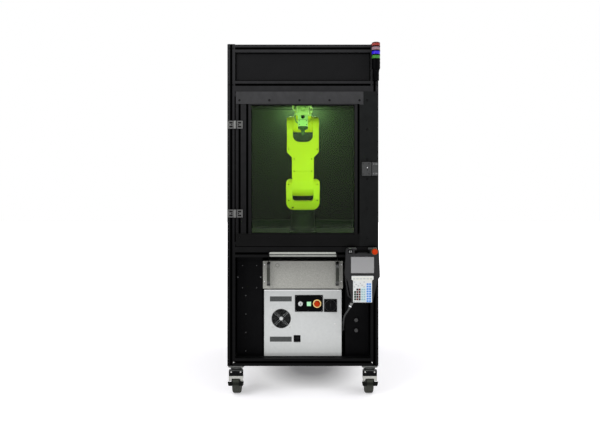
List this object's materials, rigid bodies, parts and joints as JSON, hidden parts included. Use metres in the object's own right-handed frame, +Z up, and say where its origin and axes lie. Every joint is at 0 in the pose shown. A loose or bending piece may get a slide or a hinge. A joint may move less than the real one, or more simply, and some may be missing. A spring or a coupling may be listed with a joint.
{
  "type": "robotic laser processing cell",
  "caption": "Tall cabinet on swivel casters with a windowed laser-safe chamber around a six-axis arm, over an equipment bay with laser source, controller and teach pendant.",
  "frame": {"origin": "on the floor, under the middle of the cabinet frame", "axes": "+Z up, +X to the operator's right, -Y towards the operator at the door"},
  "size_m": [0.891, 1.3378, 2.074],
  "materials": {
    "black_anodised_bar": "satin",
    "black_panel": "satin",
    "black_cover": "satin",
    "deck_plate": "satin",
    "bay_sheet": "satin",
    "light_bar": "satin",
    "grey_nylon": "satin",
    "lamp": "satin",
    "source_panel": "satin",
    "dark_handle": "satin",
    "controller_paint": "satin",
    "guard_wire": "satin",
    "black_plastic": "satin",
    "white_plastic": "gloss",
    "lit_green": "gloss",
    "signal_red": "gloss",
    "stop_red": "gloss",
    "signal_white": "gloss",
    "signal_blue": "gloss",
    "signal_green": "gloss",
    "hinge_metal": "satin",
    "lock_grey": "satin",
    "caster_zinc": "satin",
    "caster_tread": "matte",
    "brake_black": "satin",
    "laser_green_pane": "gloss",
    "robot_yellow": "satin",
    "robot_dark": "satin",
    "head_metal": "satin",
    "pendant_grey": "satin",
    "screen_grey": "gloss",
    "keypad_white": "satin",
    "cable_grey": "matte"
  },
  "bodies": {
    "cabinet": {"frame_posts": "black_anodised_bar", "frame_rails": "black_anodised_bar", "header_panel": "black_panel", "side_panels": "black_panel", "rear_panels": "black_panel", "roof_and_ceiling": "black_panel", "work_deck": "deck_plate", "bay_panels": "bay_sheet", "bay_light_bar": "light_bar", "cable_glands": "grey_nylon", "chamber_light": "lamp", "laser_source": "source_panel", "laser_source_handles": "dark_handle", "controller_case": "controller_paint", "controller_fan_guard": "guard_wire", "controller_switch_plates": "black_plastic", "stack_light_base": "black_plastic", "stack_light_red": "signal_red", "stack_light_white": "signal_white", "stack_light_blue": "signal_blue", "stack_light_green": "signal_green", "pendant_holder": "brake_black", "hinge_frame_leaves": "hinge_metal", "interlock_switch": "lock_grey", "caster_top_plates": "caster_zinc", "robot_base": "robot_dark", "pendant_cable": "cable_grey"},
    "door": {"door_frame": "black_anodised_bar", "door_cover_plates": "black_cover", "door_window": "laser_green_pane", "hinge_door_leaves": "hinge_metal", "interlock_block": "lock_grey"},
    "turret": {"robot_turret": "robot_yellow"},
    "lower_arm": {"robot_lower_arm": "robot_yellow"},
    "elbow": {"robot_elbow": "robot_yellow"},
    "forearm": {"robot_forearm": "robot_yellow"},
    "wrist": {"robot_wrist": "robot_yellow"},
    "tool": {"tool_bracket": "head_metal", "laser_head": "head_metal"},
    "pendant": {"pendant_body": "pendant_grey", "pendant_screen": "screen_grey", "pendant_keypad": "keypad_white"},
    "pendant_stop": {"pendant_estop": "stop_red"},
    "pendant_key": {"pendant_key_switch": "white_plastic"},
    "enable_bar": {"pendant_enable_bar": "white_plastic"},
    "fan": {"controller_fan": "black_plastic"},
    "start_button": {"cycle_start_button": "lit_green"},
    "mode_key": {"mode_key_switch": "white_plastic"},
    "controller_stop": {"controller_estop": "stop_red"},
    "disconnect": {"disconnect_handle": "black_plastic"},
    "caster_front_left": {"caster_fork_front_left": "caster_zinc"},
    "wheel_front_left": {"caster_wheel_front_left": "caster_tread"},
    "brake_left": {"caster_brake_pedal_left": "brake_black"},
    "caster_front_right": {"caster_fork_front_right": "caster_zinc"},
    "wheel_front_right": {"caster_wheel_front_right": "caster_tread"},
    "brake_right": {"caster_brake_pedal_right": "brake_black"},
    "caster_rear_left": {"caster_fork_rear_left": "caster_zinc"},
    "wheel_rear_left": {"caster_wheel_rear_left": "caster_tread"},
    "caster_rear_right": {"caster_fork_rear_right": "caster_zinc"},
    "wheel_rear_right": {"caster_wheel_rear_right": "caster_tread"}
  },
  "joints": [
    {"name": "door_hinge", "type": "hinge", "parent": "cabinet", "child": "door", "pos_m": [-0.3955, -0.608, 1.338], "axis": [0, 0, -1], "range_deg": [0, 110]},
    {"name": "arm_base_turn", "type": "hinge", "parent": "cabinet", "child": "turret", "pos_m": [0, 0.03, 1.0703], "axis": [0, 0, 1], "range_deg": [-35, 35]},
    {"name": "arm_shoulder", "type": "hinge", "parent": "turret", "child": "lower_arm", "pos_m": [0, -0.02, 1.2193], "axis": [1, 0, 0], "range_deg": [-10, 5]},
    {"name": "arm_elbow", "type": "hinge", "parent": "lower_arm", "child": "elbow", "pos_m": [0, -0.02, 1.6503], "axis": [-1, 0, 0], "range_deg": [-50, 6]},
    {"name": "arm_forearm_roll", "type": "hinge", "parent": "elbow", "child": "forearm", "pos_m": [0, -0.098, 1.6853], "axis": [0, 1, 0], "range_deg": [-90, 90]},
    {"name": "arm_wrist_bend", "type": "hinge", "parent": "forearm", "child": "wrist", "pos_m": [0, -0.355, 1.6853], "axis": [1, 0, 0], "range_deg": [-25, 35]},
    {"name": "arm_flange_turn", "type": "hinge", "parent": "wrist", "child": "tool", "pos_m": [0, -0.355, 1.612], "axis": [0, 0, 1], "range_deg": [-80, 80]},
    {"name": "pendant_lift", "type": "slide", "parent": "cabinet", "child": "pendant", "axis": [0, 0, 1], "range_m": [0, 0.06]},
    {"name": "pendant_stop_press", "type": "slide", "parent": "pendant", "child": "pendant_stop", "axis": [0, 1, 0], "range_m": [0, 0.004], "stiffness_N_per_m": 400},
    {"name": "pendant_key_turn", "type": "hinge", "parent": "pendant", "child": "pendant_key", "pos_m": [0.273, -0.67, 0.863], "axis": [0, 1, 0], "range_deg": [0, 90]},
    {"name": "enable_bar_press", "type": "slide", "parent": "pendant", "child": "enable_bar", "axis": [0, -1, 0], "range_m": [0, 0.004], "stiffness_N_per_m": 400},
    {"name": "fan_spin", "type": "hinge", "parent": "cabinet", "child": "fan", "pos_m": [-0.131, -0.48, 0.4361], "axis": [0, 1, 0], "continuous": true},
    {"name": "start_press", "type": "slide", "parent": "cabinet", "child": "start_button", "axis": [0, 1, 0], "range_m": [0, 0.003], "stiffness_N_per_m": 400},
    {"name": "mode_key_turn", "type": "hinge", "parent": "cabinet", "child": "mode_key", "pos_m": [-0.0145, -0.484, 0.5266], "axis": [0, 1, 0], "range_deg": [0, 90]},
    {"name": "controller_stop_press", "type": "slide", "parent": "cabinet", "child": "controller_stop", "axis": [0, 1, 0], "range_m": [0, 0.004], "stiffness_N_per_m": 400},
    {"name": "disconnect_turn", "type": "hinge", "parent": "cabinet", "child": "disconnect", "pos_m": [0.167, -0.484, 0.5151], "axis": [0, 1, 0], "range_deg": [-90, 0]},
    {"name": "swivel_front_left", "type": "hinge", "parent": "cabinet", "child": "caster_front_left", "pos_m": [-0.3935, -0.5475, 0.1752], "axis": [0, 0, 1], "continuous": true},
    {"name": "roll_front_left", "type": "hinge", "parent": "caster_front_left", "child": "wheel_front_left", "pos_m": [-0.3935, -0.5095, 0.064], "axis": [1, 0, 0], "continuous": true},
    {"name": "brake_left_press", "type": "hinge", "parent": "caster_front_left", "child": "brake_left", "pos_m": [-0.3935, -0.5815, 0.1112], "axis": [1, 0, 0], "range_deg": [0, 12]},
    {"name": "swivel_front_right", "type": "hinge", "parent": "cabinet", "child": "caster_front_right", "pos_m": [0.3935, -0.5475, 0.1752], "axis": [0, 0, 1], "continuous": true},
    {"name": "roll_front_right", "type": "hinge", "parent": "caster_front_right", "child": "wheel_front_right", "pos_m": [0.3935, -0.5095, 0.064], "axis": [1, 0, 0], "continuous": true},
    {"name": "brake_right_press", "type": "hinge", "parent": "caster_front_right", "child": "brake_right", "pos_m": [0.3935, -0.5815, 0.1112], "axis": [1, 0, 0], "range_deg": [0, 12]},
    {"name": "swivel_rear_left", "type": "hinge", "parent": "cabinet", "child": "caster_rear_left", "pos_m": [-0.3935, 0.5475, 0.1752], "axis": [0, 0, 1], "continuous": true},
    {"name": "roll_rear_left", "type": "hinge", "parent": "caster_rear_left", "child": "wheel_rear_left", "pos_m": [-0.3935, 0.5855, 0.064], "axis": [1, 0, 0], "continuous": true},
    {"name": "swivel_rear_right", "type": "hinge", "parent": "cabinet", "child": "caster_rear_right", "pos_m": [0.3935, 0.5475, 0.1752], "axis": [0, 0, 1], "continuous": true},
    {"name": "roll_rear_right", "type": "hinge", "parent": "caster_rear_right", "child": "wheel_rear_right", "pos_m": [0.3935, 0.5855, 0.064], "axis": [1, 0, 0], "continuous": true}
  ]
}
